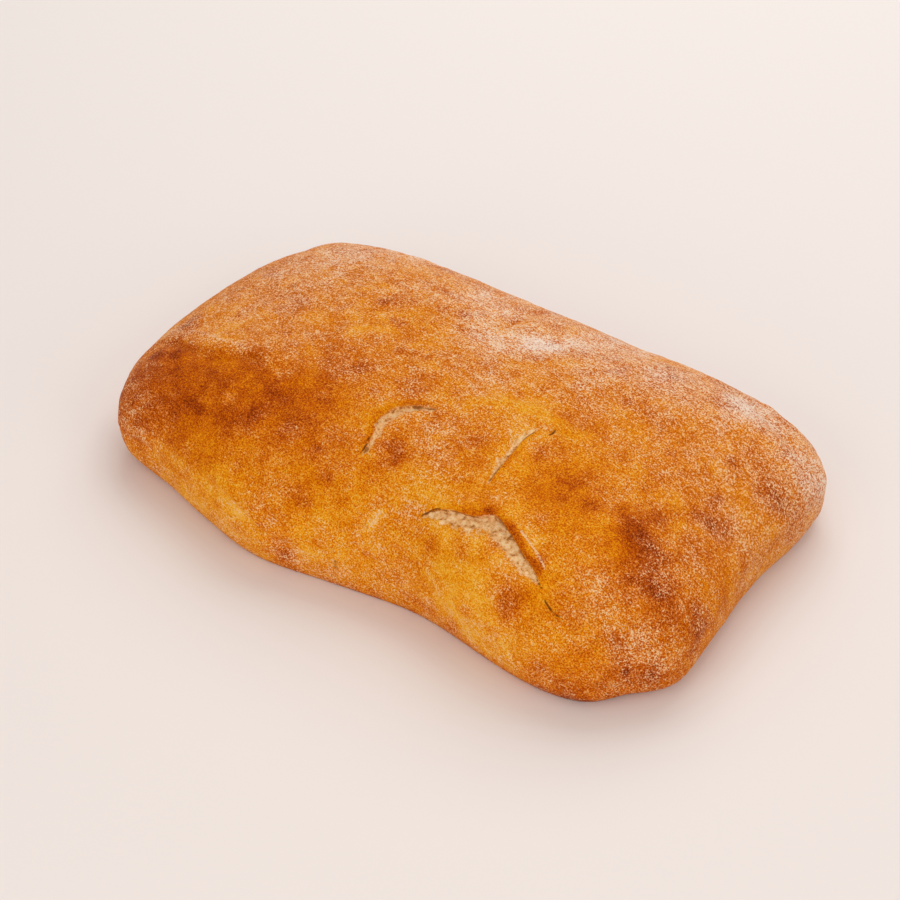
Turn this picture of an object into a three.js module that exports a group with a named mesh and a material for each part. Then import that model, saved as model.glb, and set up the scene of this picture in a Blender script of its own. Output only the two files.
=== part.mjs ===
// A ciabatta loaf: one long, low piece of bread, 271 x 175 x 60 mm, lying on its flat base.
// Millimetres, +Z up, origin in the middle of the base. The long side runs along X, and the side
// with the burst crust is the front, -Y.
//
// The form is a rounded slab, wide at the left end and pinched at the middle of both long sides.
// Folds, tears, wrinkles and blisters of the crust are relief on it, each along a path of its own.

import * as THREE from "three";

// Main sizes of the slab before its outline swells
const HALF_LENGTH = 133.5;
const HALF_WIDTH = 82.9;
const HEIGHT = 59.6;
const WIDEST_AT = 21; // height of the widest line above the base
const CENTRE_X = 5; // where the slab's own middle lies, so that the box is centred on the origin
const CENTRE_Y = -0.2;

// Roundness: 2 is an ellipse, higher is squarer
const PLAN_ROUNDNESS = 4.4;
const TOP_ROUNDNESS = 1.85;
const SKIRT_ROUNDNESS = 4;
const SKIRT_DEPTH = 34; // how far the skirt would reach below the widest line without the base

// Where the outline swells out or is pinched in: bearing seen from above, its width, and mm
const OUTLINE = [
  { name: "right end waist", bearing: 24, width: 39, swell: -12.9 },
  { name: "back right corner", bearing: 55, width: 18, swell: 15 },
  { name: "back right knob", bearing: 43.5, width: 3, swell: 1.6 },
  { name: "left end", bearing: 178, width: 48, swell: 6.6 },
  { name: "front left corner", bearing: -135, width: 5.5, swell: 2.7 },
  { name: "dent by the front left corner", bearing: -126, width: 5, swell: -2 },
  { name: "front left belly", bearing: -107, width: 9, swell: 4.9 },
  { name: "front waist", bearing: -70, width: 21, swell: -13.3 },
  { name: "front right corner", bearing: -37, width: 7, swell: -5.2 },
  { name: "back left corner", bearing: 144, width: 4.5, swell: 2.2 },
  { name: "back waist", bearing: 125, width: 24, swell: -11.7 },
];

// Where the edge of the base curled up off the oven floor
const LIFTED_EDGES = [
  { name: "front left corner", x: -123, y: -65, reach: 30, lift: 1.2 },
  { name: "right end", x: 134, y: -22, reach: 26, lift: 2 },
];

// Broad swells and dents of the crust, by place, reach and height
const SWELLS = [
  { name: "front lobe", at: [59, -73, 36], reach: 20, height: 4.2 },
  { name: "front left corner", at: [-111, -78, 13], reach: 14, height: 1.5 },
  { name: "front right corner", at: [131, -46, 12], reach: 15, height: 1.5 },
  { name: "front right skirt", at: [93, -80, 12], reach: 17, height: 1.4 },
  { name: "puff between the tears", at: [27, -40, 54], reach: 17, height: 1.6 },
  { name: "puff right of the tears", at: [77, -40, 51], reach: 22, height: 1.6 },
  { name: "stretched dent left of the main tear", at: [20, -66, 41], reach: 10, height: -1.4 },
  { name: "dent at the front waist", at: [15, -82, 22], reach: 16, height: -1.6 },
  { name: "left shoulder", at: [-59, -62, 45], reach: 24, height: 1.6 },
  { name: "valley under the lap", at: [-91, -56, 42], reach: 13, height: -1.2 },
  { name: "left end cheek", at: [-119, -12, 40], reach: 26, height: 1.2 },
  { name: "back left crown", at: [-59, 23, 57], reach: 34, height: 1.3 },
  { name: "middle saddle", at: [3, 28, 57], reach: 20, height: -1.5 },
  { name: "back right crown", at: [61, 26, 56], reach: 26, height: 1.2 },
  { name: "right blister", at: [100, -20, 46], reach: 13, height: 1.3 },
  { name: "lobe blister", at: [80, -71, 35], reach: 8, height: 1.1 },
  { name: "right end dent", at: [119, 14, 35], reach: 13, height: -1.1 },
];

// Laps: the crust above the path lies over the crust below it
const LAPS = [
  {
    name: "left lap",
    path: [[-130, -39, 27], [-111, -41, 39], [-89, -43, 46], [-74, -39, 50], [-56, -42, 53]],
    height: 1.9, reach: 13, crease: 1.7, creaseWidth: 3,
  },
  {
    name: "corner fold",
    path: [[-117, -70, 16], [-109, -76, 17], [-101, -78, 18], [-90, -79, 21]],
    height: 1, reach: 7, crease: 1.2, creaseWidth: 2.5,
  },
  {
    name: "front left shoulder",
    path: [[-67, -82, 27], [-49, -85, 27], [-34, -87, 24], [-25, -86, 19], [-11, -82, 16]],
    height: 2, reach: 8, crease: 1.2, creaseWidth: 2.6,
  },
];

// Ridges and creases that run both ways alike; a crease has a negative height
const RIDGES = [
  {
    name: "fold ridge",
    path: [[9, -24, 57], [22, -11, 59], [37, -5, 58], [51, -3, 57], [64, -4, 55], [78, -8, 52]],
    height: 1.5, width: 4.5,
  },
  {
    name: "back crease",
    path: [[-6, 29, 57], [-7, 37, 55], [-8, 46, 52], [-10, 59, 46], [-10, 68, 40]],
    height: -1.4, width: 3.5,
  },
  {
    name: "back right wrinkle",
    path: [[56, 72, 41], [77, 72, 40], [100, 67, 39], [118, 60, 32], [125, 52, 26]],
    height: -1.1, width: 3,
  },
  {
    name: "back right rim",
    path: [[81, 82, 33], [95, 78, 34], [108, 78, 29]],
    height: 1.1, width: 3.5,
  },
  {
    name: "front right wrinkle",
    path: [[112, -61, 33], [120, -56, 30], [127, -50, 27]],
    height: -0.9, width: 2.5,
  },
  {
    name: "base lip",
    path: [[103, -74, 6], [113, -70, 6], [121, -63, 6], [128, -54, 6], [132, -46, 7]],
    height: 0.6, width: 3,
  },
];

// Tears: the crust burst along the upper lip, and the crumb slopes from under it to the lower lip
const TEARS = [
  {
    name: "main tear",
    path: [
      [28, -63, 39], [33, -58, 44], [40, -55, 46], [49, -54, 48], [57, -50, 49],
      [66, -53, 48], [75, -57, 46], [84, -60, 42], [89, -62, 40],
    ],
    width: 8, depth: 3.2, lip: 1.4, lipReach: 6,
  },
  {
    name: "arc tear",
    path: [[-3, -55, 48], [-6, -49, 51], [-7, -39, 54], [-4, -31, 56], [1, -27, 57], [9, -24, 57]],
    width: 4, depth: 1.8, lip: 0.9, lipReach: 5,
  },
  {
    name: "short tear",
    path: [[44, -9, 58], [44, -18, 57], [45, -26, 56], [46, -35, 55], [47, -42, 52]],
    width: 3, depth: 1.2, lip: 0.5, lipReach: 4,
  },
];

// Mesh of the solid: a grid over the top, rows round the side, and a flat base
const TOP_COLUMNS = 78;
const TOP_ROWS = 46;
const SIDE_ROWS = 7;
const TOP_EDGE = 0.5; // where the top grid ends and the side starts, as height over distance out
const TOP_REACH = (1 + TOP_EDGE ** TOP_ROUNDNESS) ** (-1 / TOP_ROUNDNESS); // the same, as share out
const FOOT_EDGE = -0.6424; // where the skirt meets the base, as height over distance out
const BASE_RING = 0.8; // the flat of the base starts at this share of the foot's outline
const BASE_APEX = [30, 4]; // corner that the triangles of the flat share, off the middle
const SPACING_SAMPLES = 2000;
const PATH_STEPS = 60;

// How the relief dies out, in mm
const PATH_END = 3; // past the ends of a path
const PATH_OFF = 10; // off a path along the normal
const FOOT_FADE = [0.5, 6]; // heights above the base between which it rises to its full size
const LIFT_FADE = 1.5; // power of the depth below the top that a lifted edge goes with

// Share of its length over which a lap, a ridge or a tear rises from each end
const LAP_ENDS = 0.25;
const RIDGE_ENDS = 0.3;
const TEAR_ENDS = 0.1;

// Cross-sections, in mm or in shares of a tear's width
const LAP_SLOPE = 2.5; // half width of the step from the crease up to the flap
const TEAR_LENS = 0.6; // a tear opens with the sine of the way along it, to this power
const TEAR_NARROWEST = 0.8; // mm, at its ends
const LIP_PEAK = 1.5; // mm from the edge to the highest line of the lip
const LIP_FRONT = [-2, 1]; // mm, the lip's front rises from here to here
const FALL = [-1, 0.4]; // the crumb falls from 1 mm behind the edge to this share of the width
const SLOPE = [0.45, 1.3]; // and climbs again between these shares

// The finer grid round the tears: its middle and half width on the -1 to 1 grid, and its gain
const FINE_COLUMNS = { middle: 0.36, width: 0.42, gain: 1 };
const FINE_ROWS = { middle: -0.74, width: 0.3, gain: 1.3 };

// count + 1 values from -1 to 1, closer together round the middle of the fine band
function spacing(count, fine) {
  const sums = [0];
  for (let i = 0; i < SPACING_SAMPLES; i++) {
    const value = -1 + (2 * (i + 0.5)) / SPACING_SAMPLES;
    const density = 1 + fine.gain * Math.exp(-(((value - fine.middle) / fine.width) ** 2));
    sums.push(sums[i] + density);
  }
  const values = [];
  let at = 0;
  for (let k = 0; k <= count; k++) {
    const wanted = (sums[SPACING_SAMPLES] * k) / count;
    while (at < SPACING_SAMPLES && sums[at + 1] < wanted) at++;
    const share = (wanted - sums[at]) / (sums[at + 1] - sums[at]);
    values.push(-1 + (2 * (at + share)) / SPACING_SAMPLES);
  }
  return values;
}

// Shortest turn between two bearings, in degrees
function turn(a, b) {
  return ((((a - b + 180) % 360) + 360) % 360) - 180;
}

// Rounded length of a plan direction: 1 on the slab's outline, as a superellipse has it
function planLength(a, b) {
  return (Math.abs(a) ** PLAN_ROUNDNESS + Math.abs(b) ** PLAN_ROUNDNESS) ** (1 / PLAN_ROUNDNESS);
}

// Point of the plain slab. a and b give the bearing, out says how far out the point lies, from 0
// in the middle to 1 on the widest line, and rise how high, from 1 on top past 0 on that line.
function slabPoint(a, b, out, rise) {
  const bearing = THREE.MathUtils.radToDeg(Math.atan2(b, a));
  let swell = 0;
  for (const part of OUTLINE) {
    swell += part.swell * Math.exp(-((turn(bearing, part.bearing) / part.width) ** 2));
  }
  const share = out / (planLength(a, b) + 1e-9);
  const x = HALF_LENGTH * a * share;
  const y = HALF_WIDTH * b * share;
  const grow = 1 + (out ** 2 * swell) / (Math.hypot(x, y) + 1e-9);
  const z = WIDEST_AT + rise * (rise > 0 ? HEIGHT - WIDEST_AT : SKIRT_DEPTH);
  const point = new THREE.Vector3(x * grow + CENTRE_X, y * grow + CENTRE_Y, Math.max(z, 0));
  for (const edge of LIFTED_EDGES) {
    const away = Math.hypot(point.x - edge.x, point.y - edge.y);
    point.z += edge.lift * Math.exp(-((away / edge.reach) ** 2)) * (1 - point.z / HEIGHT) ** LIFT_FADE;
  }
  return point;
}

// Point over the top, where a and b run from -1 to 1 across the top grid
function topPoint(a, b) {
  const out = TOP_REACH * Math.max(Math.abs(a), Math.abs(b));
  return slabPoint(a, b, out, (1 - out ** TOP_ROUNDNESS) ** (1 / TOP_ROUNDNESS));
}

// Point on the side, where slant is height over distance out
function sidePoint(a, b, slant) {
  const power = slant > 0 ? TOP_ROUNDNESS : SKIRT_ROUNDNESS;
  const length = (1 + Math.abs(slant) ** power) ** (1 / power);
  return slabPoint(a, b, 1 / length, slant / length);
}

// A path laid on the crust: points a step apart, with the direction at each
function layPath(feature) {
  const corners = feature.path.map((corner) => new THREE.Vector3(...corner));
  const curve = new THREE.CatmullRomCurve3(corners, false, "centripetal");
  const points = curve.getSpacedPoints(PATH_STEPS);
  const tangents = points.map((point, k) => {
    const before = points[Math.max(k - 1, 0)];
    const after = points[Math.min(k + 1, PATH_STEPS)];
    return after.clone().sub(before).normalize();
  });
  return { ...feature, points, tangents };
}

// How a crust point lies to a path: how far across it, positive on its left, how far past its
// ends, how far off it along the normal, and how far along it from 0 to 1
function placeOnPath(path, point, normal) {
  let best = 0;
  let least = Infinity;
  for (let k = 0; k <= PATH_STEPS; k++) {
    const away = path.points[k].distanceToSquared(point);
    if (away < least) {
      least = away;
      best = k;
    }
  }
  const offset = point.clone().sub(path.points[best]);
  const tangent = path.tangents[best];
  const atEnd = best === 0 || best === PATH_STEPS;
  return {
    across: offset.dot(normal.clone().cross(tangent).normalize()),
    past: atEnd ? offset.dot(tangent) : 0,
    off: offset.dot(normal),
    along: best / PATH_STEPS,
  };
}

const bell = (distance, width) => Math.exp(-((distance / width) ** 2));

// A path's strength: full along its middle, falling to nothing towards and past its ends, and
// on crust that faces another way
function fade(place, ends) {
  const inner = THREE.MathUtils.smoothstep(Math.min(place.along, 1 - place.along), 0, ends);
  return inner * bell(place.past, PATH_END) * bell(place.off, PATH_OFF);
}

// Lap: a step up on the left of the path that dies out over its reach, and a crease on the right
function lapHeight(lap, place) {
  const step = THREE.MathUtils.smoothstep(place.across, -LAP_SLOPE, LAP_SLOPE);
  const flap = lap.height * step * Math.exp(-((Math.max(place.across, 0) / lap.reach) ** 2));
  const crease = lap.crease * bell(place.across + lap.creaseWidth, lap.creaseWidth);
  return (flap - crease) * fade(place, LAP_ENDS);
}

// Tear: a raised lip on the left of the path, a steep fall, and a slope up to the lower lip
function tearHeight(tear, place) {
  const open = Math.sin(Math.PI * place.along) ** TEAR_LENS;
  const width = Math.max(tear.width * open, TEAR_NARROWEST);
  const below = -place.across;
  const lipFront = THREE.MathUtils.smoothstep(place.across, ...LIP_FRONT);
  const lip = tear.lip * lipFront * bell(place.across - LIP_PEAK, tear.lipReach);
  const fall = THREE.MathUtils.smoothstep(below, FALL[0], FALL[1] * width);
  const climb = THREE.MathUtils.smoothstep(below, SLOPE[0] * width, SLOPE[1] * width);
  return (lip - tear.depth * fall * (1 - climb)) * open * fade(place, TEAR_ENDS);
}

const laps = LAPS.map(layPath);
const ridges = RIDGES.map(layPath);
const tears = TEARS.map(layPath);

// Height of the relief at a crust point, in mm along its normal
function relief(point, normal) {
  let height = 0;
  for (const swell of SWELLS) {
    height += swell.height * bell(point.distanceTo(new THREE.Vector3(...swell.at)), swell.reach);
  }
  for (const lap of laps) height += lapHeight(lap, placeOnPath(lap, point, normal));
  for (const tear of tears) height += tearHeight(tear, placeOnPath(tear, point, normal));
  for (const ridge of ridges) {
    const place = placeOnPath(ridge, point, normal);
    height += ridge.height * bell(place.across, ridge.width) * fade(place, RIDGE_ENDS);
  }
  return height * THREE.MathUtils.smoothstep(point.z, ...FOOT_FADE);
}

// Two triangles for each quad, split along the diagonal whose ends are nearer in height, so that
// edges run along the lips and folds and don't cut across them
function splitQuads(quads, heights) {
  return quads.flatMap(([a, b, c, d]) => {
    const alongAC = Math.abs(heights[a] - heights[c]) <= Math.abs(heights[b] - heights[d]);
    return alongAC ? [a, b, c, a, c, d] : [a, b, d, b, c, d];
  });
}

// The loaf's closed surface
function loafGeometry() {
  const columns = spacing(TOP_COLUMNS, FINE_COLUMNS);
  const rows = spacing(TOP_ROWS, FINE_ROWS);
  const points = [];
  const quads = [];

  // Top grid, row by row from the front
  for (const b of rows) {
    for (const a of columns) points.push(topPoint(a, b));
  }
  const topIndex = (column, row) => row * (TOP_COLUMNS + 1) + column;
  for (let row = 0; row < TOP_ROWS; row++) {
    for (let column = 0; column < TOP_COLUMNS; column++) {
      const corner = topIndex(column, row);
      const right = topIndex(column + 1, row);
      const far = topIndex(column + 1, row + 1);
      const back = topIndex(column, row + 1);
      quads.push([corner, right, far, back]);
    }
  }

  // The grid's border, counterclockwise from the front left corner
  const border = [];
  for (let column = 0; column < TOP_COLUMNS; column++) border.push([column, 0]);
  for (let row = 0; row < TOP_ROWS; row++) border.push([TOP_COLUMNS, row]);
  for (let column = TOP_COLUMNS; column > 0; column--) border.push([column, TOP_ROWS]);
  for (let row = TOP_ROWS; row > 0; row--) border.push([0, row]);

  // Rings down the side, each joined to the one above it
  let ring = border.map(([column, row]) => topIndex(column, row));
  const joinRing = (ringPoints) => {
    const next = ringPoints.map((point) => points.push(point) - 1);
    for (let k = 0; k < ring.length; k++) {
      const after = (k + 1) % ring.length;
      quads.push([ring[k], next[k], next[after], ring[after]]);
    }
    ring = next;
  };
  for (let level = 1; level <= SIDE_ROWS; level++) {
    const slant = THREE.MathUtils.lerp(TOP_EDGE, FOOT_EDGE, level / SIDE_ROWS);
    joinRing(border.map(([column, row]) => sidePoint(columns[column], rows[row], slant)));
  }

  // The flat of the base
  const flat = ring.map((index) => {
    const foot = points[index];
    return new THREE.Vector3(foot.x * BASE_RING, foot.y * BASE_RING, 0);
  });
  joinRing(flat);
  const apex = points.push(new THREE.Vector3(...BASE_APEX, 0)) - 1;
  const fan = ring.flatMap((index, k) => [index, apex, ring[(k + 1) % ring.length]]);

  // The plain slab gives the normals that the relief is raised along
  const slab = new THREE.BufferGeometry().setFromPoints(points);
  const plain = points.map(() => 0);
  slab.setIndex([...splitQuads(quads, plain), ...fan]);
  slab.computeVertexNormals();
  const normal = new THREE.Vector3();
  const heights = points.map((point, index) => {
    normal.fromBufferAttribute(slab.attributes.normal, index);
    return relief(point, normal);
  });
  points.forEach((point, index) => {
    normal.fromBufferAttribute(slab.attributes.normal, index);
    point.addScaledVector(normal, heights[index]);
  });

  const geometry = new THREE.BufferGeometry().setFromPoints(points);
  geometry.setIndex([...splitQuads(quads, heights), ...fan]);
  geometry.computeVertexNormals();
  return geometry;
}

const crust = new THREE.MeshStandardMaterial({ color: 0xcc7f33, roughness: 0.62, metalness: 0 });
const loaf = new THREE.Mesh(loafGeometry(), crust);
loaf.name = "loaf";

const bread = new THREE.Group();
bread.add(loaf);

export default bread;
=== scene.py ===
# A ciabatta loaf on a pale floor. The shape is worked out in millimetres, with +Z up and the
# origin in the middle of the base, and goes into the meshes in metres.
import itertools

import bpy
import numpy as np
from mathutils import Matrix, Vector


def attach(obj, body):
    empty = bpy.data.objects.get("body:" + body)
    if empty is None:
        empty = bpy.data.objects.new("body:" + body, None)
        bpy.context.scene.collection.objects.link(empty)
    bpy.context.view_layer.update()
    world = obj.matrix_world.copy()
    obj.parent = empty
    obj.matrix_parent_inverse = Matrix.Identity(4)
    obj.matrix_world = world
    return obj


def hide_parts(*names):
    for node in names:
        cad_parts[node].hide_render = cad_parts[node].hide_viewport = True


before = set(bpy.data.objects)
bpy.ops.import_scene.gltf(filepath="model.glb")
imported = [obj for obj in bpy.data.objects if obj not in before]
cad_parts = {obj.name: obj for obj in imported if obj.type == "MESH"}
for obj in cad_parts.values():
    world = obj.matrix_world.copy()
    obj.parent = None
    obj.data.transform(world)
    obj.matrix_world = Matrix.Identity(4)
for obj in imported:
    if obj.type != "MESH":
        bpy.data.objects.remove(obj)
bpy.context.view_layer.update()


# The slab of dough
# Wet dough, folded over itself, cut and laid on a floured peel, is baked straight on the oven
# floor. It spreads into a rounded slab with a flat base, wide at its left end and pinched in at
# the middle of both long sides.

# Half sizes, height, height of the widest line, depth that the skirt would reach below it, middle
# of the plan, powers of the superellipses, and power of the fading of a lifted edge
HALF_LENGTH = 133.5
HALF_WIDTH = 82.9
HEIGHT = 59.6
WIDEST_AT = 21
CENTRE = (5, -0.2)
PLAN_ROUNDNESS = 4.4
TOP_ROUNDNESS = 1.85
SKIRT_ROUNDNESS = 4
SKIRT_DEPTH = 34
LIFT_FADE = 1.5

# Bearing seen from above, width of the swell in degrees, and how far it swells out
OUTLINE = {
    "right end waist": (24, 39, -12.9),
    "back right corner": (55, 18, 15),
    "back right knob": (43.5, 3, 1.6),
    "left end": (178, 48, 6.6),
    "front left corner": (-135, 5.5, 2.7),
    "dent by the front left corner": (-126, 5, -2),
    "front left belly": (-107, 9, 4.9),
    "front waist": (-70, 21, -13.3),
    "front right corner": (-37, 7, -5.2),
    "back left corner": (144, 4.5, 2.2),
    "back waist": (125, 24, -11.7),
}

# Place, reach and lift of the edges that curled up off the oven floor
LIFTED_EDGES = {
    "front left corner": (-123, -65, 30, 1.2),
    "right end": (134, -22, 26, 2),
}


def bell(distance, width):
    """One at no distance, and falling away on both sides as a Gaussian of this width."""
    return np.exp(-((distance / width) ** 2))


def smooth_step(value, low, high):
    """Nought up to low and one from high on, with the cubic 3s2 - 2s3 between."""
    share = np.clip((value - low) / (high - low), 0, 1)
    return share * share * (3 - 2 * share)


def slab_point(a, b, out, rise):
    """Points of the plain slab. a and b give the bearing, on which the plan is a superellipse
    that the outline's Gaussian swells push out; out is the share of the way from the middle to
    the widest line, and rise the share of the height above or below that line."""
    bearing = np.degrees(np.arctan2(b, a))
    swell = sum(
        height * bell((bearing - at + 180) % 360 - 180, width)
        for at, width, height in OUTLINE.values()
    )
    length = (np.abs(a) ** PLAN_ROUNDNESS + np.abs(b) ** PLAN_ROUNDNESS) ** (1 / PLAN_ROUNDNESS)
    x = HALF_LENGTH * a * out / (length + 1e-9)
    y = HALF_WIDTH * b * out / (length + 1e-9)
    grow = 1 + out**2 * swell / (np.hypot(x, y) + 1e-9)
    x = x * grow + CENTRE[0]
    y = y * grow + CENTRE[1]
    z = WIDEST_AT + rise * np.where(rise > 0, HEIGHT - WIDEST_AT, SKIRT_DEPTH)
    z = np.maximum(z, 0)
    for edge_x, edge_y, reach, lift in LIFTED_EDGES.values():
        near = bell(np.hypot(x - edge_x, y - edge_y), reach)
        z = z + lift * near * (1 - z / HEIGHT) ** LIFT_FADE
    return np.stack([x, y, z], axis=-1)


# Grid of the crust: rows and columns over the top, closer together round the tears, rings down
# the side from the top grid's edge to the foot, and rings in towards the middle of the base
TOP_COLUMNS = 320
TOP_ROWS = 180
SIDE_ROWS = 36
TOP_EDGE = 0.5
TOP_REACH = (1 + TOP_EDGE**TOP_ROUNDNESS) ** (-1 / TOP_ROUNDNESS)
FOOT_EDGE = -0.6424
BASE_RINGS = (0.96, 0.86, 0.5)

# Middle, width and gain of the bump in the density of the columns and of the rows, and the number
# of steps in which it is summed
COLUMN_BUMP = (0.36, 0.38, 1.5)
ROW_BUMP = (-0.62, 0.3, 1.9)
BUMP_STEPS = 4000


def spacing(count, middle, width, gain):
    """Values from -1 to 1 whose density is one plus a Gaussian bump of this gain."""
    fine = np.linspace(-1, 1, BUMP_STEPS + 1)
    total = np.cumsum(1 + gain * bell(fine - middle, width))
    total = (total - total[0]) / (total[-1] - total[0])
    return np.interp(np.linspace(0, 1, count + 1), total, fine)


def top_point(a, b):
    """The slab's top: the distance out grows evenly with the larger of a and b, and the height
    over it follows a superellipse."""
    out = TOP_REACH * np.maximum(np.abs(a), np.abs(b))
    return slab_point(a, b, out, (1 - out**TOP_ROUNDNESS) ** (1 / TOP_ROUNDNESS))


def side_point(a, b, slant):
    """The slab's side: slant is the height over the distance out, on one superellipse above the
    widest line and on a squarer one below it."""
    power = TOP_ROUNDNESS if slant > 0 else SKIRT_ROUNDNESS
    length = (1 + abs(slant) ** power) ** (1 / power)
    return slab_point(a, b, 1 / length, np.full_like(a, slant / length))


def slab_grid():
    """All points of the slab, its quads, and the triangles that close the middle of the base."""
    columns = spacing(TOP_COLUMNS, *COLUMN_BUMP)
    rows = spacing(TOP_ROWS, *ROW_BUMP)
    b, a = np.meshgrid(rows, columns, indexing="ij")
    layers = [top_point(a, b).reshape(-1, 3)]
    index = np.arange(a.size).reshape(a.shape)
    corners = (index[:-1, :-1], index[:-1, 1:], index[1:, 1:], index[1:, :-1])
    quads = [np.stack(corners, axis=-1).reshape(-1, 4)]
    ring = np.concatenate([index[0, :-1], index[:-1, -1], index[-1, :0:-1], index[:0:-1, 0]])
    edge_a, edge_b = a.ravel()[ring], b.ravel()[ring]

    def join(points):
        """Adds a ring of points and the quads between it and the last ring."""
        nonlocal ring
        last = ring
        ring = sum(len(layer) for layer in layers) + np.arange(len(points))
        layers.append(points)
        quads.append(np.stack([last, ring, np.roll(ring, -1), np.roll(last, -1)], axis=-1))

    for slant in np.linspace(TOP_EDGE, FOOT_EDGE, SIDE_ROWS + 1)[1:]:
        join(side_point(edge_a, edge_b, slant))
    foot = layers[-1]
    for share in BASE_RINGS:
        join(foot * (share, share, 0))
    points = np.concatenate([*layers, np.zeros((1, 3))])
    apex = np.full(len(ring), len(points) - 1)
    fan = np.stack([ring, apex, np.roll(ring, -1)], axis=-1)
    return points, np.concatenate(quads), fan


def vertex_normals(points, quads):
    """Each point's normal, the sum of the cross products of the diagonals of its quads, and the
    length of that sum, which goes with the area round the point."""
    diagonals = points[quads[:, 2]] - points[quads[:, 0]], points[quads[:, 3]] - points[quads[:, 1]]
    facing = np.cross(*diagonals)
    total = np.zeros_like(points)
    for corner in range(4):
        np.add.at(total, quads[:, corner], facing)
    size = np.linalg.norm(total, axis=1)
    return total / (size[:, None] + 1e-12), size


points, quads, fan = slab_grid()
normals, areas = vertex_normals(points, quads)
normals[-1] = (0, 0, -1)
bare = points.copy()


# The laps and folds
# Where the dough was folded, one layer of crust lies over the next with a crease in front of it.
# Each follows its own path over the crust, as do the wrinkles and ridges of the rising dough.

# How many steps a path has, how far its strength reaches past its ends and off it along the
# normal, and the share of its length over which the strength rises from each end
PATH_STEPS = 240
PATH_END = 3
PATH_OFF = 10
LAP_ENDS = 0.25
RIDGE_ENDS = 0.3

# Half the width over which a lap steps up, how many times its reach a lap or a tear is followed
# out from its path, and how many times its width a ridge is, with a margin
LAP_SLOPE = 1.6
LAP_SPAN = 3
RIDGE_SPAN = 4
RIDGE_MARGIN = 4

# Corners of each path, height and reach of the flap, depth and width of the crease
LAPS = {
    "left lap": (
        [(-130, -39, 27), (-111, -41, 39), (-89, -43, 46), (-74, -39, 50), (-56, -42, 53)],
        1.3, 12, 1.0, 2.2,
    ),
    "corner fold": (
        [(-117, -70, 16), (-109, -76, 17), (-101, -78, 18), (-90, -79, 21)],
        1, 7, 1.2, 2.2,
    ),
    "front left shoulder": (
        [(-67, -82, 27), (-49, -85, 27), (-34, -87, 24), (-25, -86, 19), (-11, -82, 16)],
        2, 8, 1.2, 2.6,
    ),
}

# Corners of each path, height, which is negative for a crease, and width
RIDGES = {
    "fold ridge": (
        [(9, -24, 57), (22, -11, 59), (37, -5, 58), (51, -3, 57), (64, -4, 55), (78, -8, 52)],
        1.5, 4.5,
    ),
    "back crease": ([(-6, 29, 57), (-7, 37, 55), (-8, 46, 52), (-10, 59, 46), (-10, 68, 40)], -1.4, 3),
    "back crease slit": ([(-7, 29, 57), (-7, 37, 55), (-9, 46, 51)], -0.7, 0.9),
    "back right wrinkle": (
        [(56, 72, 41), (77, 72, 40), (100, 67, 39), (118, 60, 32), (125, 52, 26)],
        -1.1, 2.6,
    ),
    "back right rim": ([(81, 82, 33), (95, 78, 34), (108, 78, 29)], 1.1, 3.5),
    "front right wrinkle": ([(112, -61, 33), (120, -56, 30), (127, -50, 27)], -0.9, 2.2),
    "front right wrinkle below": ([(109, -65, 32), (116, -62, 29), (123, -59, 23)], -0.5, 1.2),
    "front right wrinkle above": ([(116, -50, 35), (124, -47, 32), (130, -43, 29)], -0.5, 1.2),
    "base lip": ([(103, -74, 6), (113, -70, 6), (121, -63, 6), (128, -54, 6), (132, -46, 7)], 0.6, 3),
    "skirt line": ([(111, -71, 12), (120, -62, 11), (127, -53, 8)], -0.5, 1.2),
    "waist slit": ([(18, -66, 38), (17, -69, 35), (16, -72, 30), (16, -73, 27)], -0.6, 0.8),
    "waist slit lip": ([(15, -66, 38), (14, -69, 35), (13, -72, 30)], 0.6, 1.0),
    "base crack": ([(2, -78, 16), (2, -78, 12), (2, -78, 8)], -0.8, 0.6),
    "dark crack": ([(87, -64, 39), (91, -65, 38), (95, -66, 36), (101, -66, 34)], -0.7, 0.45),
    "lap upper line": (
        [(-113, -40, 39), (-111, -35, 40), (-93, -37, 46), (-79, -37, 49), (-74, -38, 50)],
        0.5, 1.2,
    ),
    "tiny tear": ([(49, -10, 57), (50, -6, 57)], -0.8, 0.8),
}


def lay_path(corners, steps=PATH_STEPS):
    """Points and directions an even step apart on the curve through the corners: a cubic for
    each stretch, with the slopes of a centripetal Catmull-Rom curve at its ends."""
    corners = np.array(corners, float)
    first = 2 * corners[0] - corners[1]
    last = 2 * corners[-1] - corners[-2]
    knots = np.vstack([first, corners, last])
    lengths = np.sqrt(np.linalg.norm(np.diff(knots, axis=0), axis=1))[:, None]
    rates = np.diff(knots, axis=0) / lengths
    middle = (knots[2:] - knots[:-2]) / (lengths[1:] + lengths[:-1])
    slopes = rates[:-1] - middle + rates[1:]
    t = np.linspace(0, 1, steps)[:, None]
    stretches = []
    for k in range(len(corners) - 1):
        start, end = corners[k], corners[k + 1]
        out, back = slopes[k] * lengths[k + 1], slopes[k + 1] * lengths[k + 1]
        stretches.append(
            start * (2 * t**3 - 3 * t**2 + 1)
            + out * (t**3 - 2 * t**2 + t)
            + end * (3 * t**2 - 2 * t**3)
            + back * (t**3 - t**2)
        )
    curve = np.vstack(stretches)
    way = np.concatenate([[0], np.cumsum(np.linalg.norm(np.diff(curve, axis=0), axis=1))])
    even = np.linspace(0, way[-1], steps + 1)
    line = np.stack([np.interp(even, way, curve[:, axis]) for axis in range(3)], axis=1)
    heading = np.gradient(line, axis=0)
    return line, heading / np.linalg.norm(heading, axis=1, keepdims=True)


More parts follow.
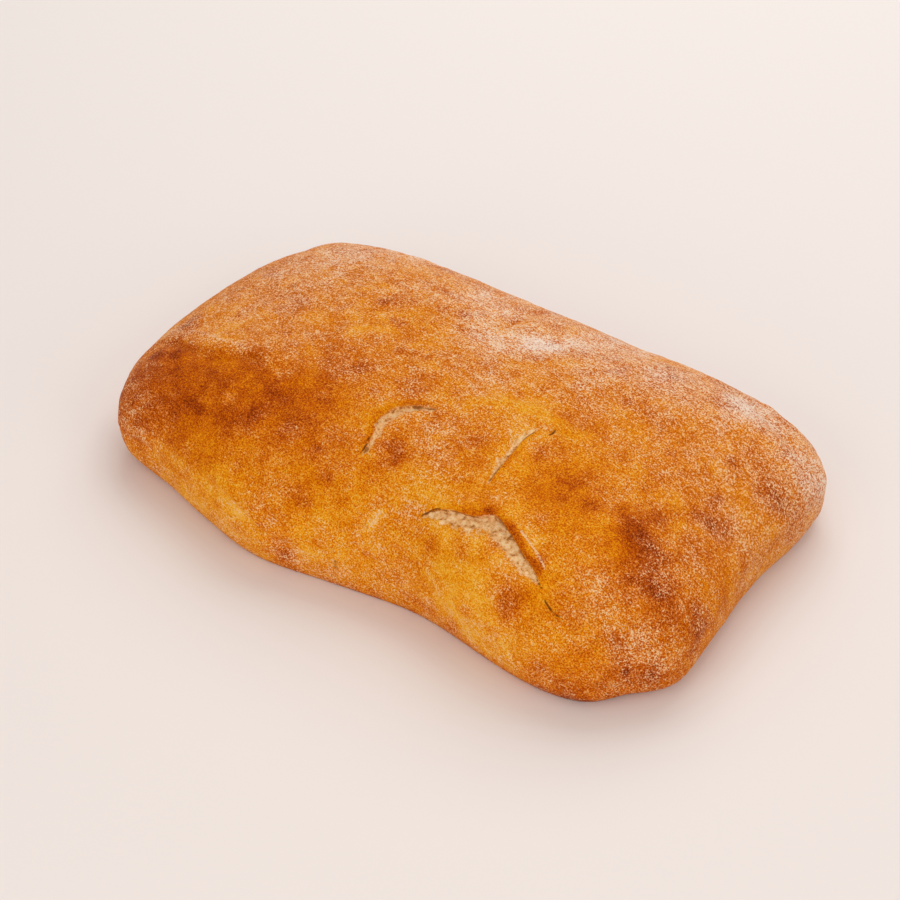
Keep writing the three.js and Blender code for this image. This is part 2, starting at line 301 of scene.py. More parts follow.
def place_on_path(corners, reach):
    """Of the crust points within reach of a path: their numbers, how far each lies across it,
    positive on its left, how far past its ends, how far off it along the normal, the share of
    the way along it, and the direction across."""
    line, heading = lay_path(corners)
    low, high = line.min(axis=0) - reach, line.max(axis=0) + reach
    near = np.flatnonzero(np.all((bare > low) & (bare < high), axis=1))
    here, up = bare[near], normals[near]
    away = np.full(len(near), np.inf)
    best = np.zeros(len(near), int)
    for k, spot in enumerate(line):
        distance = np.einsum("ij,ij->i", here - spot, here - spot)
        closer = distance < away
        away[closer] = distance[closer]
        best[closer] = k
    offset = here - line[best]
    side = np.cross(up, heading[best])
    side /= np.linalg.norm(side, axis=1, keepdims=True)
    forward = np.einsum("ij,ij->i", offset, heading[best])
    past = np.where((best == 0) | (best == PATH_STEPS), forward, 0)
    across = np.einsum("ij,ij->i", offset, side)
    off = np.einsum("ij,ij->i", offset, up)
    return near, across, past, off, best / PATH_STEPS, side


def fade(along, past, off, ends):
    """A path's strength: a smooth step up from each end, and Gaussians past the ends and off
    the path along the normal."""
    inner = smooth_step(np.minimum(along, 1 - along), 0, ends)
    return inner * bell(past, PATH_END) * bell(off, PATH_OFF)


height = np.zeros(len(points))
slide = np.zeros_like(points)

for corners, rise, reach, depth, width in LAPS.values():
    near, across, past, off, along, side = place_on_path(corners, LAP_SPAN * reach)
    step = smooth_step(across, -LAP_SLOPE, LAP_SLOPE)
    flap = rise * step * np.exp(-((np.maximum(across, 0) / reach) ** 2))
    crease = depth * bell(across + width, width)
    strength = fade(along, past, off, LAP_ENDS)
    height[near] += (flap - crease) * strength

for corners, rise, width in RIDGES.values():
    near, across, past, off, along, side = place_on_path(corners, RIDGE_SPAN * width + RIDGE_MARGIN)
    height[near] += rise * bell(across, width) * fade(along, past, off, RIDGE_ENDS)


# The tears
# The crust burst where gas pushed it up. One lip of each tear stands proud and curls over the
# opening, and the torn crumb slopes from under it up to the other lip. Shade under the lip is
# painted into the crumb's colour as well.

# The share of a tear's length over which it rises from each end, the power of the sine that opens
# it like a lens, and its least width
TEAR_ENDS = 0.1
TEAR_LENS = 0.6
TEAR_NARROWEST = 0.8

# Across a tear in millimetres: where the lip rises, its crest, and where it is drawn from and to
# as it curls over
LIP_RISE = (-1, 0.6)
LIP_CREST = 1.2
LIP_ROOT = 0.5
LIP_EDGE = -1.7
LIP_CURL = 0.9

# Where the crumb falls away under the lip, and the shares of the tear's width between which it
# climbs again and between which its roughness dies out
CRUMB_FALL = (-0.6, 0.9)
CRUMB_CLIMB = (0.45, 1.3)
CRUMB_NEAR = (0.1, 0.9)
CRUMB_FAR = (0.85, 1.15)
CRUMB_ROUGHNESS = 0.4

# Where the bared crumb starts under the lip, the shares of the width between which its ragged
# far edge ends, and the unevenness of that edge
BARED_NEAR = (-0.5, 0.9)
BARED_FAR = (0.4, 1.15)
RAGGED_FINE = 0.22
RAGGED_COARSE = 0.2

# Place and width of the painted shade under the lip and of the scorched edge on it, how much of
# the painted shade is even and how much is patchy, and the stretched skin beyond, in shares of
# the tear's width
SHADE_BAND = (0.6, 0.6)
SCORCH_BAND = (0.9, 1.1)
SHADE_EVEN = 0.45
SHADE_PATCHY = 0.9
STRETCH_BAND = (0.6, 1.6)

# Corners of each path, width, depth, height and reach of the lip, and how far it hangs over
TEARS = {
    "main tear": (
        [
            (28, -63, 39), (33, -58, 44), (40, -55, 46), (49, -54, 48), (57, -50, 49),
            (66, -53, 48), (75, -57, 46), (84, -60, 42), (89, -63, 39),
        ],
        8.4, 2.2, 1.1, 6, 0.8,
    ),
    "arc tear": (
        [(-4, -57, 48), (-5, -49, 51), (-8, -40, 54), (-5, -32, 56), (1, -27, 57), (10, -24, 57)],
        4.6, 1.5, 0.8, 5, 0.4,
    ),
    "short tear": (
        [(45, -8, 58), (44, -18, 57), (45, -26, 56), (46, -35, 55), (47, -44, 52)],
        3.2, 1, 0.4, 4, 0.2,
    ),
}

# Number of values along each side of the noise's lattice, after which it repeats
LATTICE = 32


def lattice_noise(places, size, seed):
    """Smooth noise from -1 to 1: seeded random values on a cubic lattice of this size, blended
    between its corners by smooth steps."""
    table = np.random.default_rng(seed).uniform(-1, 1, (LATTICE, LATTICE, LATTICE))
    cell = np.floor(places / size).astype(int)
    part = places / size - cell
    part = part * part * (3 - 2 * part)
    total = 0
    for corner in itertools.product((0, 1), repeat=3):
        weight = np.prod(np.where(corner, part, 1 - part), axis=1)
        total = total + weight * table[tuple(((cell + corner) % LATTICE).T)]
    return total


crumb = np.zeros(len(points))
shade = np.zeros(len(points))
scorch = np.zeros(len(points))
stretch = np.zeros(len(points))

for seed, (corners, full, depth, lip, reach, overhang) in enumerate(TEARS.values()):
    near, across, past, off, along, side = place_on_path(corners, LAP_SPAN * reach)
    opening = np.sin(np.pi * along) ** TEAR_LENS
    strength = fade(along, past, off, TEAR_ENDS)
    width = np.maximum(full * opening, TEAR_NARROWEST)
    below = -across
    rim = lip * smooth_step(across, *LIP_RISE) * bell(across - LIP_CREST, reach)
    fall = smooth_step(below, *CRUMB_FALL)
    climb = smooth_step(below, CRUMB_CLIMB[0] * width, CRUMB_CLIMB[1] * width)
    rough = lattice_noise(bare[near], 1.7, seed) + 0.6 * lattice_noise(bare[near], 0.9, seed + 9)
    beyond = smooth_step(below, CRUMB_FAR[0] * width, CRUMB_FAR[1] * width)
    inside = smooth_step(below, *CRUMB_NEAR) * (1 - beyond)
    bed = depth * fall * (1 - climb) - CRUMB_ROUGHNESS * rough * inside
    height[near] += (rim - bed) * opening * strength
    over = overhang * (bell(across - LIP_EDGE, LIP_CURL) - bell(across - LIP_ROOT, LIP_CURL))
    slide[near] += side * (over * opening * strength)[:, None]
    ragged = below / width + RAGGED_FINE * rough
    ragged += RAGGED_COARSE * lattice_noise(bare[near], 3, seed + 30)
    bared = smooth_step(below, *BARED_NEAR) * (1 - smooth_step(ragged, *BARED_FAR))
    crumb[near] = np.maximum(crumb[near], bared * strength)
    # Painted shade: the crumb under the overhanging lip is darkened in colour, evenly and in patches
    uneven = np.clip(SHADE_EVEN + SHADE_PATCHY * lattice_noise(bare[near], 6, seed + 40), 0, 1)
    shade[near] += bell(below - SHADE_BAND[0], SHADE_BAND[1]) * uneven * strength
    scorch[near] += bell(across - SCORCH_BAND[0], SCORCH_BAND[1]) * strength * opening
    stretch[near] += bell(below - STRETCH_BAND[0] * width, STRETCH_BAND[1] * full) * strength


# The blisters and the skin
# Bubbles under the crust lifted it here and there, the valleys between were dragged down, and
# the whole skin is finely pebbled.

# Place, reach and height
SWELLS = {
    "front lobe": ((59, -73, 36), 20, 4.2),
    "front left corner": ((-111, -78, 13), 14, 1.5),
    "front right corner": ((131, -46, 12), 15, 1.5),
    "front right skirt": ((93, -80, 12), 17, 1.4),
    "puff between the tears": ((27, -40, 54), 17, 1.6),
    "puff right of the tears": ((77, -40, 51), 22, 1.6),
    "stretched dent left of the main tear": ((20, -66, 41), 10, -1.4),
    "dent at the front waist": ((15, -82, 22), 16, -1.6),
    "left shoulder": ((-59, -62, 45), 24, 1.6),
    "valley under the lap": ((-91, -56, 42), 13, -1.2),
    "left end cheek": ((-119, -12, 40), 26, 1.2),
    "back left crown": ((-59, 23, 57), 34, 1.3),
    "middle saddle": ((3, 28, 57), 20, -1.5),
    "back right crown": ((61, 26, 56), 26, 1.2),
    "right blister": ((100, -20, 46), 13, 1.3),
    "lobe blister": ((80, -71, 35), 8, 1.1),
    "right end dent": ((119, 14, 35), 13, -1.1),
}

# Grain size and height of each layer of unevenness, the share that bared crumb loses, and the
# heights above the base between which all relief rises to its full size
UNEVENNESS = ((16, 0.45), (8, 0.3), (4, 0.16), (2.1, 0.09))
CRUMB_EVENNESS = 0.7
FOOT_FADE = (0.5, 6)

for place, reach, rise in SWELLS.values():
    height += rise * bell(np.linalg.norm(bare - place, axis=1), reach)
for layer, (size, rise) in enumerate(UNEVENNESS):
    height += rise * lattice_noise(bare, size, 20 + layer) * (1 - CRUMB_EVENNESS * crumb)
height *= smooth_step(bare[:, 2], *FOOT_FADE)
points = bare + normals * height[:, None] + slide
points[:, 2] = np.maximum(points[:, 2], 0)


# The colour of the crust
# The crust is golden where it was stretched late, brown where it blistered or faced the oven's
# heat, and dark along its foot. Flour from the peel clings in patches and streaks. The added
# flour towards the back is partly painted sheen of the light behind, the skin over and under the
# left lap is partly painted sheen and painted shade, and thin cracks are painted dark for shade.

# Place, reach and strength of each place that baked browner, or stayed paler if negative
BAKED = {
    "big round spot": ((80, -70, 35), 6.5, 0.42),
    "lobe spot": ((39, -67, 35), 4.5, 0.22),
    "lobe top spot": ((55, -66, 41), 4.5, 0.22),
    "lobe foot spot": ((63, -79, 22), 4, 0.08),
    "by the arc tear": ((32, -31, 56), 6, 0.22),
    "in the arc": ((4, -46, 51), 6, 0.25),
    "left shoulder": ((-47, -51, 51), 7, 0.15),
    "left shoulder below": ((-61, -68, 42), 6, 0.15),
    "left shoulder beside": ((-51, -63, 46), 6, 0.15),
    "front belly": ((-17, -77, 35), 5, 0.15),
    "right blister": ((99, -24, 46), 8, 0.36),
    "right blister tail": ((109, -28, 42), 9, 0.26),
    "right blister foot": ((119, -34, 38), 10, 0.2),
    "right of the blister": ((116, -10, 39), 9, 0.16),
    "left of the blister": ((90, -22, 49), 9, 0.08),
    "right end corner": ((127, -38, 32), 11, 0.16),
    "right back": ((120, 38, 32), 6, 0.25),
    "right end": ((116, 8, 36), 7, 0.2),
    "right end below": ((135, -27, 23), 8, 0.3),
    "right of the fold": ((71, -27, 53), 8, 0.15),
    "front foot": ((-19, -84, 9), 9, 0.15),
    "left end under the lap": ((-106, -66, 32), 26, 0.26),
    "left middle under the lap": ((-72, -60, 45), 24, 0.17),
    "left of the arc tear": ((-34, -56, 49), 22, 0.2),
    "front left shoulder": ((-80, -76, 31), 22, 0.1),
    "left end corner": ((-122, -62, 26), 12, 0.08),
    "over the lap": ((-118, -29, 37), 9, 0.2),
    "below the blister": ((102, -34, 44), 10, 0.1),
    "foot of the lobe": ((58, -76, 20), 11, -0.2),
    "above the arc tear": ((-30, -25, 57), 16, 0.1),
    "middle": ((4, -4, 60), 14, -0.08),
    "front right corner": ((126, -52, 14), 16, 0.2),
    "front right foot": ((104, -74, 4), 14, 0.25),
    "lobe": ((56, -74, 32), 24, -0.14),
    "front skirt": ((84, -80, 18), 24, -0.14),
    "between the tears": ((18, -57, 46), 14, -0.06),
    "waist": ((14, -76, 26), 20, -0.13),
    "front left skirt": ((-84, -86, 14), 22, -0.2),
    "front belly skirt": ((-44, -89, 14), 26, -0.2),
    "front foot of the waist": ((-8, -82, 14), 18, -0.14),
    "fold": ((34, -8, 58), 18, -0.14),
    "back": ((-25, 42, 53), 16, -0.06),
    "back crease rim": ((-3, 34, 56), 9, -0.16),
}

# Place, reach and strength of each floured place, negative where the skin is bare
FLOURED = {
    "back patch": ((12, 34, 56), 10, 0.38),
    "back patch behind": ((20, 48, 51), 9, 0.26),
    "back edge": ((31, 61, 45), 12, 0.2),
    "back left edge": ((-92, 36, 46), 24, 0.12),
    "right blister": ((99, -19, 46), 10, -0.14),
    "left of the back crease": ((-26, 40, 54), 15, 0.28),
    "middle": ((16, 2, 59), 16, 0.14),
    "middle behind": ((-4, 25, 57), 14, 0.34),
    "back right": ((42, 32, 56), 14, 0.2),
    "back right behind": ((58, 50, 51), 13, 0.2),
    "back right edge": ((88, 65, 42), 11, 0.28),
    "back right corner": ((124, 62, 27), 12, 0.2),
    "arc puff": ((19, -40, 53), 8, 0.06),
    "inside the arc": ((-2, -42, 53), 9, -0.12),
    "waist band": ((18, -66, 40), 8, 0.06),
    "left end of the main tear": ((27, -62, 40), 6, 0.2),
    "front right": ((105, -52, 40), 8, 0.12),
    "front right corner": ((123, -55, 28), 8, 0.14),
    "front right edge": ((132, -48, 21), 7, 0.16),
    "right end": ((117, 15, 35), 10, 0.08),
    "right end foot": ((128, 20, 12), 16, 0.08),
    "left end top": ((-102, 10, 44), 44, 0.14),
    "left rim": ((-127, -49, 26), 10, 0.2),
    "corner fold": ((-104, -74, 29), 9, 0.06),
    "front left shoulder": ((-72, -76, 31), 18, -0.18),
    "front belly": ((-44, -78, 34), 14, -0.1),
    "right of the arc puff": ((36, -44, 51), 9, -0.14),
    "between the tears": ((60, -28, 55), 12, -0.14),
    "right end of the main tear": ((86, -62, 41), 8, -0.24),
    "right blister foot": ((100, -33, 45), 9, -0.22),
    "right end corner": ((126, -40, 33), 12, -0.1),
    "lobe foot": ((70, -78, 20), 9, 0.08),
    "left end under the lap": ((-98, -58, 40), 20, -0.16),
    "left middle under the lap": ((-68, -55, 47), 24, -0.16),
    "left of the arc tear": ((-34, -50, 51), 24, -0.16),
    "front middle": ((-10, -76, 33), 16, -0.18),
    "left of the main tear": ((10, -57, 46), 12, -0.2),
    "lobe": ((50, -70, 35), 20, -0.14),
    "right of the tears": ((80, -38, 50), 22, -0.18),
    "front right skirt": ((104, -72, 20), 17, -0.12),
}

# Corners, width, and change in bake and in flour of each line
LINES = {
    "lip over the main tear": ([(43, -54, 47), (50, -52, 48), (57, -49, 49)], 2.4, 0.1, -0.25),
    "lip beside the main tear": (
        [(60, -51, 49), (67, -52, 48), (75, -56, 46), (84, -59, 43), (88, -61, 41)],
        1.3, 0.3, -0.5,
    ),
    "flour on the lap": (
        [(-113, -39, 39), (-111, -35, 40), (-93, -37, 46), (-79, -37, 49), (-74, -38, 50)],
        1.3, 0, 0.2,
    ),
    "lap ridge": ([(-68, -40, 51), (-63, -41, 52), (-52, -44, 52)], 1, -0.15, 0.2),
    "waist slit lip": ([(18, -65, 39), (15, -66, 38), (14, -69, 35), (13, -72, 30)], 1.4, -0.2, 0.1),
    "back crease": ([(-7, 29, 57), (-7, 37, 55), (-9, 46, 51)], 0.8, 0.15, -0.2),
    "front left shoulder": (
        [(-112, -76, 22), (-88, -84, 24), (-67, -85, 24), (-49, -88, 24), (-34, -90, 21), (-25, -88, 17)],
        3, -0.12, 0.1,
    ),
    "fold ridge": (
        [(8, -25, 57), (16, -17, 58), (29, -6, 59), (42, -4, 58), (50, -3, 57), (64, -5, 55)],
        3.5, -0.12, -0.1,
    ),
}

# Corners of the thin cracks, painted dark for the shade in them, and of the sharp crests drawn as thin
# pale lines
CRACKS = {
    "base crack": [(2, -78, 17), (2, -78, 12), (2, -78, 7)],
    "dark crack": [(87, -64, 39), (91, -65, 38), (95, -66, 36), (99, -66, 35), (103, -66, 33)],
    "main tear, left end": [(28, -63, 39), (31, -60, 42), (34, -57, 44), (39, -56, 46)],
    "main tear, right end": [(82, -61, 43), (86, -62, 41), (90, -63, 39)],
    "arc tear, low end": [(-4, -58, 48), (-5, -51, 50), (-7, -45, 52)],
    "short tear, top": [(45, -10, 58), (44, -16, 57), (44, -21, 57)],
    "tiny tear": [(49, -11, 57), (50, -5, 57)],
}
CRESTS = {
    "lip beside the main tear": [
        (63, -50, 49), (69, -51, 48), (75, -53, 47), (81, -55, 45), (87, -58, 42), (90, -60, 41),
    ],
    "waist slit": [(18, -65, 39), (15, -66, 38), (14, -69, 35), (13, -72, 30)],
    "arc tear": [(-7, -47, 52), (-7, -40, 54), (-4, -33, 55)],
}
LINE_REACH = 3
LINE_ENDS = 0.25
STREAK_ENDS = 0.2

# Bake and flour of plain skin, and for each layer of their noise the strength, grain size and seed
PLAIN_BAKE = 0.38
PLAIN_FLOUR = 0.3
BAKE_NOISE = ((0.07, 22, 60), (0.07, 9, 61), (0.08, 4.5, 63))
FLOUR_NOISE = ((0.06, 14, 62), (0.07, 6, 64), (0.05, 2.8, 65))

# How much more flour the back has, partly real flour and partly painted sheen of the light
# behind, and how far back the increase starts and ends
BACK_FLOUR_AND_SHEEN = 0.24
BACK_FROM = 12
BACK_FULL = 72

# Small blisters: how many, the seed, the least and greatest reach, and the bake of the palest
# and the darkest
BLISTERS = 260
BLISTER_SEED = 7
BLISTER_REACH = (1.6, 4.2)
BLISTER_STRENGTH = 0.26
BLISTER_RANGE = (-0.35, 1)

# The skin over the left lap is paler and more floured than the skin under it, partly real flour
# and partly painted light, painted sheen on the skin above that faces up and painted shade on the
# skin below that faces away: how far out the path is followed, where the change lies across it,
# how wide each side's band is, how far it reaches past the ends, and what it does to flour and bake
LAP_TONE_REACH = 30
LAP_TONE_STEP = (-1, 1.5)
LAP_TONE_BAND = 6
LAP_TONE_FADE = 9
LAP_TONE_END = 8
LAP_FLOUR_AND_PAINTED_LIGHT = 0.12
LAP_BAKE_AND_PAINTED_LIGHT = -0.1

# Bake and flour along the scorched lips and in the skin stretched beside the tears, and the bake
# and the reach of the dark foot
SCORCHED = (0.14, -0.3)
STRETCHED = (-0.1, 0.06)
FOOT_BAKE = 0.12
FOOT_REACH = 3.5


def gather(places, spread):
    """The sum of Gaussians round the places, each of its own reach and strength, whose edges
    waver with noise that moves the crust points by this spread."""
    wander = np.stack([lattice_noise(bare, 9, 40 + axis) for axis in range(3)], axis=1)
    wander += 0.5 * np.stack([lattice_noise(bare, 4, 50 + axis) for axis in range(3)], axis=1)
    moved = bare + spread * wander
    return sum(
        strength * bell(np.linalg.norm(moved - place, axis=1), reach)
        for place, reach, strength in places.values()
    )


bake = PLAIN_BAKE + gather(BAKED, 2)
# More flour towards the back, partly real flour and partly painted sheen of the light behind
flour = PLAIN_FLOUR + gather(FLOURED, 3) + BACK_FLOUR_AND_SHEEN * smooth_step(bare[:, 1], BACK_FROM, BACK_FULL)
for strength, size, seed in BAKE_NOISE:
    bake += strength * lattice_noise(bare, size, seed)
for strength, size, seed in FLOUR_NOISE:
    flour += strength * lattice_noise(bare, size, seed)

chance = np.random.default_rng(BLISTER_SEED)
centres = chance.choice(len(bare), BLISTERS, p=areas / areas.sum())
for centre in centres:
    reach = chance.uniform(*BLISTER_REACH)
    strength = BLISTER_STRENGTH * chance.uniform(*BLISTER_RANGE)
    bake += strength * bell(np.linalg.norm(bare - bare[centre], axis=1), reach)

for corners, width, browner, whiter in LINES.values():
    near, across, past, off, along, side = place_on_path(corners, RIDGE_SPAN * width + LINE_REACH)
    strength = bell(across, width) * fade(along, past, off, STREAK_ENDS)
    bake[near] += browner * strength
    flour[near] += whiter * strength


def draw_lines(lines):
    """The strength of thin lines: one on each line, falling evenly to nought beside it, so that
    the material can cut it off at a limit and give the line a clean edge."""
    drawn = np.zeros(len(bare))
    for corners in lines.values():
        near, across, past, off, along, side = place_on_path(corners, 2 * LINE_REACH)
        strength = np.clip(1 - np.abs(across) / LINE_REACH, 0, 1)
        strength *= fade(along, past, off, LINE_ENDS)
        drawn[near] = np.maximum(drawn[near], strength)
    return drawn


# Thin cracks, to be painted dark for the shade inside them
cracks = draw_lines(CRACKS)
crests = draw_lines(CRESTS)

# Paler, floured skin over the left lap and darker skin under it: part flour, part painted sheen and shade
near, across, past, off, along, side = place_on_path(LAPS["left lap"][0], LAP_TONE_REACH)
beside = smooth_step(across, *LAP_TONE_STEP) - 0.5
band = bell(np.maximum(np.abs(across) - LAP_TONE_BAND, 0), LAP_TONE_FADE)
strength = beside * band * bell(past, LAP_TONE_END)
flour[near] += LAP_FLOUR_AND_PAINTED_LIGHT * strength
bake[near] += LAP_BAKE_AND_PAINTED_LIGHT * strength

stretch = np.clip(stretch, 0, 1)
bake += SCORCHED[0] * scorch + STRETCHED[0] * stretch + FOOT_BAKE * bell(bare[:, 2], FOOT_REACH)
flour += SCORCHED[1] * np.clip(scorch, 0, 1) + STRETCHED[1] * stretch


def srgb(red, green, blue):
    """Linear colour of a tone given as it shows on a screen, 0 to 255."""
    tone = np.array([red, green, blue]) / 255
    linear = np.where(tone > 0.04045, ((tone + 0.055) / 1.055) ** 2.4, tone / 12.92)
    return (*linear.tolist(), 1)


def add_node(tree, kind, inputs=(), **settings):
    """Adds a shader node with these settings; each input is a value or another node's socket."""
    made = tree.nodes.new("ShaderNode" + kind)
    for name, value in settings.items():
        setattr(made, name, value)
    for name, value in dict(inputs).items():
        if isinstance(value, bpy.types.NodeSocket):
            tree.links.new(value, made.inputs[name])
        else:
            made.inputs[name].default_value = value
    return made


def noise(tree, where, scale, detail=2, rough=0.5):
    """Fractal noise from 0 to 1 with this many grains to the metre."""
    made = add_node(
        tree, "TexNoise", {"Vector": where, "Scale": scale, "Detail": detail, "Roughness": rough}
    )
    return made.outputs["Fac"]


def stretch_range(tree, value, low, high, start=0, end=1):
    """Maps low to start and high to end, and stops there."""
    inputs = {"Value": value, "From Min": low, "From Max": high, "To Min": start, "To Max": end}
    return add_node(tree, "MapRange", inputs).outputs["Result"]


def combine(tree, operation, first, second=0):
    """A sum, product or other operation on two values."""
    return add_node(tree, "Math", {0: first, 1: second}, operation=operation).outputs["Value"]


def weigh(tree, parts):
    """The sum of values, each times its weight."""
    total = 0
    for value, weight in parts:
        total = combine(tree, "ADD", combine(tree, "MULTIPLY", value, weight), total)
    return total


def worms(tree, where, scale, detail, width):
    """Wriggling lines: one where fractal noise passes its middle value, and nought where it is
    this width or more away from it."""
    off = combine(tree, "SUBTRACT", noise(tree, where, scale, detail, 0.6), 0.5)
    return stretch_range(tree, combine(tree, "ABSOLUTE", off), width, 0)


def blend_colour(tree, share, first, second):
    """The first colour, turning into the second as the share goes to one."""
    made = tree.nodes.new("ShaderNodeMix")
    made.data_type = "RGBA"
    for slot, value in ((0, share), (6, first), (7, second)):
        if isinstance(value, bpy.types.NodeSocket):
            tree.links.new(value, made.inputs[slot])
        else:
            made.inputs[slot].default_value = value
    return made.outputs[2]


def colour_ramp(tree, value, stops):
    """A ramp through these places and colours."""
    made = add_node(tree, "ValToRGB", {"Fac": value})
    ramp = made.color_ramp
    while len(ramp.elements) < len(stops):
        ramp.elements.new(1)
    for element, (place, colour) in zip(ramp.elements, stops):
        element.position = place
        element.color = colour
    return made.outputs["Color"]


# Tones of the crust by how hard it baked, of the crumb from its pores and painted shade out, and
# of the painted shade in a crack
CRUST_TONES = (
    (0.0, srgb(246, 182, 54)),
    (0.16, srgb(239, 155, 13)),
    (0.32, srgb(228, 130, 6)),
    (0.48, srgb(207, 102, 4)),
    (0.64, srgb(181, 77, 3)),
    (0.8, srgb(148, 55, 2)),
    (1.0, srgb(104, 34, 2)),
)
CRUMB_TONES = (
    (0.0, srgb(110, 64, 26)),
    (0.34, srgb(182, 118, 60)),
    (0.45, srgb(238, 180, 114)),
    (0.6, srgb(253, 216, 162)),
)
CRACK_SHADE_TONE = srgb(96, 44, 12)

# Tones of flour where it lies thin and where it lies thick, between these amounts of it
THIN_FLOUR = srgb(245, 202, 154)
THICK_FLOUR = srgb(250, 228, 208)
THICKNESS = (0.4, 0.85)

# How strongly the grain moves the flour's cover, what is taken off so that it moves it both ways,
# and the range and the power that set how sharply the cover comes in
GRAIN_GAIN = 6.6
GRAIN_MIDDLE = 4.45
COVER_RANGE = (0.12, 0.95)
COVER_POWER = 2.6

# Turn and scale of the brushed streaks, height of the grain in metres, and the share of the
# painted shade under the lips that darkens the crumb's colour
STREAK_TURN = (0, 0, -0.68)
STREAK_SCALE = (0.3, 1.3, 1)
GRAIN_HEIGHT = 0.0003
CRUMB_SHADE = 0.3

# What is added back so that the flecks darken and lighten the bake alike, the strengths between
# which crumb is bared, and those between which a crest whitens and a crack is darkened with
# painted shade, and how far
FLECK_MIDDLE = 0.3
BARED_RANGE = (0.6, 1.0)
CREST_RANGE = (0.89, 0.97, 0, 0.75)
CRACK_RANGE = (0.93, 1.0, 0, 0.85)


def crust_material():
    """Baked crust: a ramp from straw to dark brown by how hard it baked, under a grainy film of
    flour whose cover is a power of a speckled value, with porous crumb where it is torn, painted
    darker for the shade under the lips, and with thin cracks painted dark for the shade in them."""
    material = bpy.data.materials.new("baked_crust")
    material.use_nodes = True
    tree = material.node_tree
    shader = tree.nodes["Principled BSDF"]
    where = add_node(tree, "TexCoord").outputs["Object"]
    attribute = {
        name: add_node(tree, "Attribute", attribute_name=name).outputs["Fac"]
        for name in ("bake", "flour", "crumb", "shade", "crack", "crest")
    }

    fine = stretch_range(tree, noise(tree, where, 1800, 1, 0.6), 0.35, 0.65)
    small = stretch_range(tree, noise(tree, where, 1150, 2, 0.7), 0.4, 0.66)
    large = worms(tree, where, 460, 3, 0.06)
    mottle = stretch_range(tree, noise(tree, where, 170, 4, 0.65), 0.3, 0.7)
    brushed = add_node(
        tree, "Mapping", {"Vector": where, "Rotation": STREAK_TURN, "Scale": STREAK_SCALE}
    ).outputs["Vector"]
    streaks = stretch_range(tree, noise(tree, brushed, 600, 3, 0.6), 0.35, 0.65)
    grain = weigh(tree, ((fine, 0.5), (small, 0.42), (large, 0.22), (streaks, 0.24), (mottle, 0.2)))

    flecks = weigh(tree, ((fine, -0.36), (small, -0.1), (large, -0.16), (mottle, -0.16)))
    baked = combine(tree, "ADD", combine(tree, "ADD", attribute["bake"], flecks), FLECK_MIDDLE)
    crust = colour_ramp(tree, baked, CRUST_TONES)

    bare_share = combine(tree, "SUBTRACT", 1, attribute["flour"])
    room = combine(tree, "MULTIPLY", attribute["flour"], bare_share)
    spread = combine(tree, "SUBTRACT", combine(tree, "MULTIPLY", grain, GRAIN_GAIN), GRAIN_MIDDLE)
    speck = combine(tree, "ADD", combine(tree, "MULTIPLY", spread, room), attribute["flour"])
    cover = combine(tree, "POWER", stretch_range(tree, speck, *COVER_RANGE), COVER_POWER)
    jitter = weigh(tree, ((fine, 0.1), (mottle, 0.06)))
    crest = stretch_range(tree, combine(tree, "ADD", attribute["crest"], jitter), *CREST_RANGE)
    cover = combine(tree, "MAXIMUM", cover, crest)
    thick = stretch_range(tree, attribute["flour"], *THICKNESS)
    film = blend_colour(tree, thick, THIN_FLOUR, THICK_FLOUR)
    floured = blend_colour(tree, cover, crust, film)

    # The crumb's pores, darkened further by the painted shade under the lips
    pores_and_shade = combine(tree, "SUBTRACT", noise(tree, where, 520, 3, 0.65), attribute["shade"])
    torn = colour_ramp(tree, pores_and_shade, CRUMB_TONES)
    edge = weigh(tree, ((fine, 0.3), (mottle, 0.3)))
    bared = stretch_range(tree, combine(tree, "ADD", attribute["crumb"], edge), *BARED_RANGE)
    colour = blend_colour(tree, bared, floured, torn)
    crack = stretch_range(tree, combine(tree, "ADD", attribute["crack"], jitter), *CRACK_RANGE)
    colour = blend_colour(tree, crack, colour, CRACK_SHADE_TONE)
    tree.links.new(colour, shader.inputs["Base Color"])

    shader.inputs["Roughness"].default_value = 0.55
    shader.inputs["Specular IOR Level"].default_value = 0.03
    bump = add_node(tree, "Bump", {"Strength": 1, "Distance": GRAIN_HEIGHT, "Height": grain})
    tree.links.new(bump.outputs["Normal"], shader.inputs["Normal"])
    return material


def new_piece(name, places, faces, material):
    """A smooth mesh piece in the scene, with its places given in millimetres."""
    mesh = bpy.data.meshes.new(name)
    mesh.from_pydata((places * 0.001).tolist(), [], faces)
    mesh.shade_smooth()
    mesh.materials.append(material)
    piece = bpy.data.objects.new(name, mesh)
    bpy.context.scene.collection.objects.link(piece)
    return piece


loaf = new_piece("ciabatta_crust", points, quads.tolist() + fan.tolist(), crust_material())
layers = {
    "bake": bake,
    "flour": flour,
    "crumb": crumb,
    "shade": CRUMB_SHADE * shade,
    "crack": cracks,
    "crest": crests,
}
for name, values in layers.items():
    layer = loaf.data.attributes.new(name, "FLOAT", "POINT")
    layer.data.foreach_set("value", np.clip(values, 0, 1.2).astype(np.float32))
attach(loaf, "root")
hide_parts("loaf")


# The floor
# A wide sheet of pale card that the loaf lies on. It isn't part of the object.
FLOOR_HALF = 4.0
FLOOR_GAP = 0.0002


def floor_material():
    """Matt card, warm white."""
    material = bpy.data.materials.new("pale_card")
    material.use_nodes = True
    shader = material.node_tree.nodes["Principled BSDF"]
    shader.inputs["Base Color"].default_value = srgb(238, 230, 226)
    shader.inputs["Roughness"].default_value = 0.9
    shader.inputs["Specular IOR Level"].default_value = 0.2
    return material


corners = np.array([(-1, -1, 0), (1, -1, 0), (1, 1, 0), (-1, 1, 0)]) * FLOOR_HALF * 1000
floor = new_piece("floor", corners - (0, 0, FLOOR_GAP * 1000), [(0, 1, 2, 3)], floor_material())


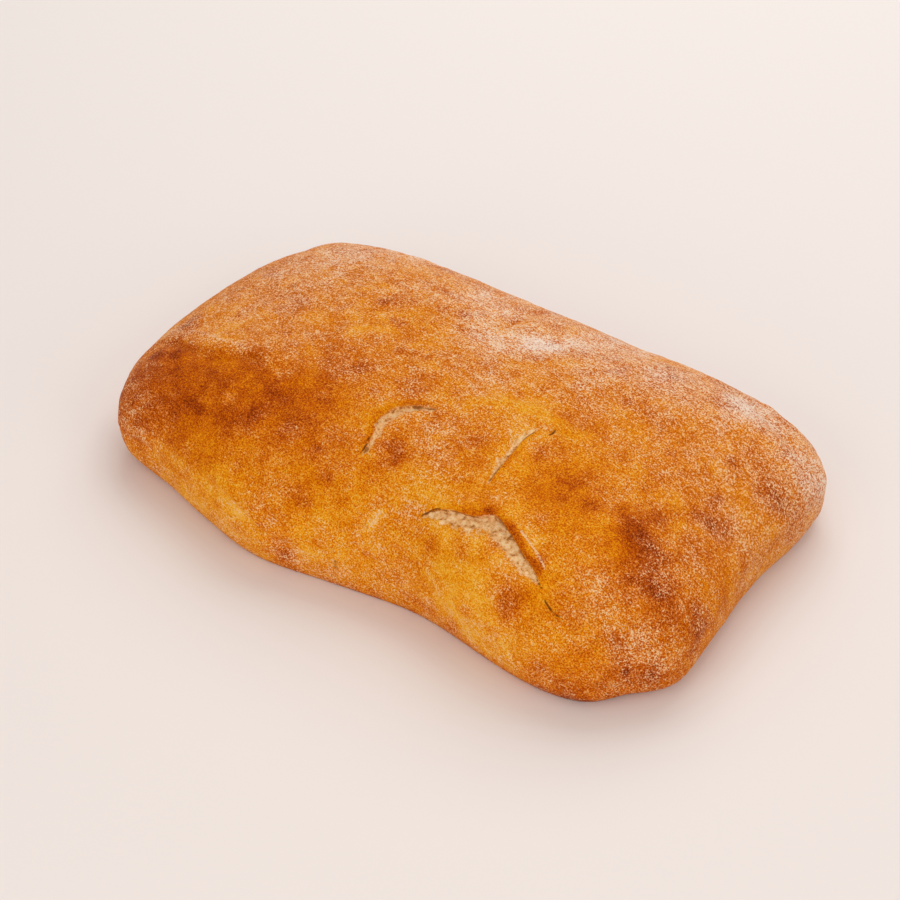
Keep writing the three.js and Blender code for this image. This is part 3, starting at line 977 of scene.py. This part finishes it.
# The camera
# It looks down on the loaf's front right from about a metre away, through a lens long enough that
# the loaf fills the picture.
VIEW_AZIMUTH = 39.0
VIEW_ELEVATION = 40.28
VIEW_DISTANCE = 1.0654
LENS = 109.84
TARGET = Vector((0.0051, -0.0019, 0.025))
AIM_RIGHT = -0.00768
AIM_UP = -0.00355

azimuth, elevation = np.radians(VIEW_AZIMUTH), np.radians(VIEW_ELEVATION)
back = Vector((
    np.sin(azimuth) * np.cos(elevation),
    -np.cos(azimuth) * np.cos(elevation),
    np.sin(elevation),
))
right = Vector((np.cos(azimuth), np.sin(azimuth), 0))
up = back.cross(right)
camera = bpy.data.objects.new("camera", bpy.data.cameras.new("camera"))
camera.data.lens = LENS
camera.location = TARGET + back * VIEW_DISTANCE
aim = TARGET + right * AIM_RIGHT + up * AIM_UP
camera.rotation_mode = "QUATERNION"
camera.rotation_quaternion = (camera.location - aim).to_track_quat("Z", "Y")
bpy.context.scene.collection.objects.link(camera)
bpy.context.scene.camera = camera


# The light
# A large soft box hangs over the loaf and behind it, two weaker ones stand at the front on the
# right and on the left, and pale studio walls fill in the rest.

# Place away from the camera, to its right and above the table, size, all in metres, power, colour
SOFT_BOXES = {
    "key": (0.7, 0.2, 0.9, 1.0, 6.5, (0.97, 0.99, 1)),
    "right": (-0.55, 0.6, 0.5, 0.6, 1.4, (1, 0.97, 0.93)),
    "front": (-0.75, -0.45, 0.35, 0.8, 2.7, (1, 0.98, 0.95)),
}
WALL_COLOUR = (1, 0.95, 0.91, 1)
WALL_STRENGTH = 0.56


def soft_box(name, place, size, power, colour):
    """A square area light that faces the loaf."""
    light = bpy.data.lights.new(name, "AREA")
    light.size = size
    light.energy = power
    light.color = colour
    box = bpy.data.objects.new(name, light)
    box.location = place
    box.rotation_mode = "QUATERNION"
    box.rotation_quaternion = place.to_track_quat("Z", "Y")
    bpy.context.scene.collection.objects.link(box)


away = Vector((-np.sin(azimuth), np.cos(azimuth), 0))
for name, (off, aside, above, size, power, colour) in SOFT_BOXES.items():
    soft_box(name, away * off + right * aside + Vector((0, 0, above)), size, power, colour)
world = bpy.data.worlds.new("studio")
world.use_nodes = True
world.node_tree.nodes["Background"].inputs["Color"].default_value = WALL_COLOUR
world.node_tree.nodes["Background"].inputs["Strength"].default_value = WALL_STRENGTH
bpy.context.scene.world = world
bpy.context.scene.view_settings.view_transform = "Standard"
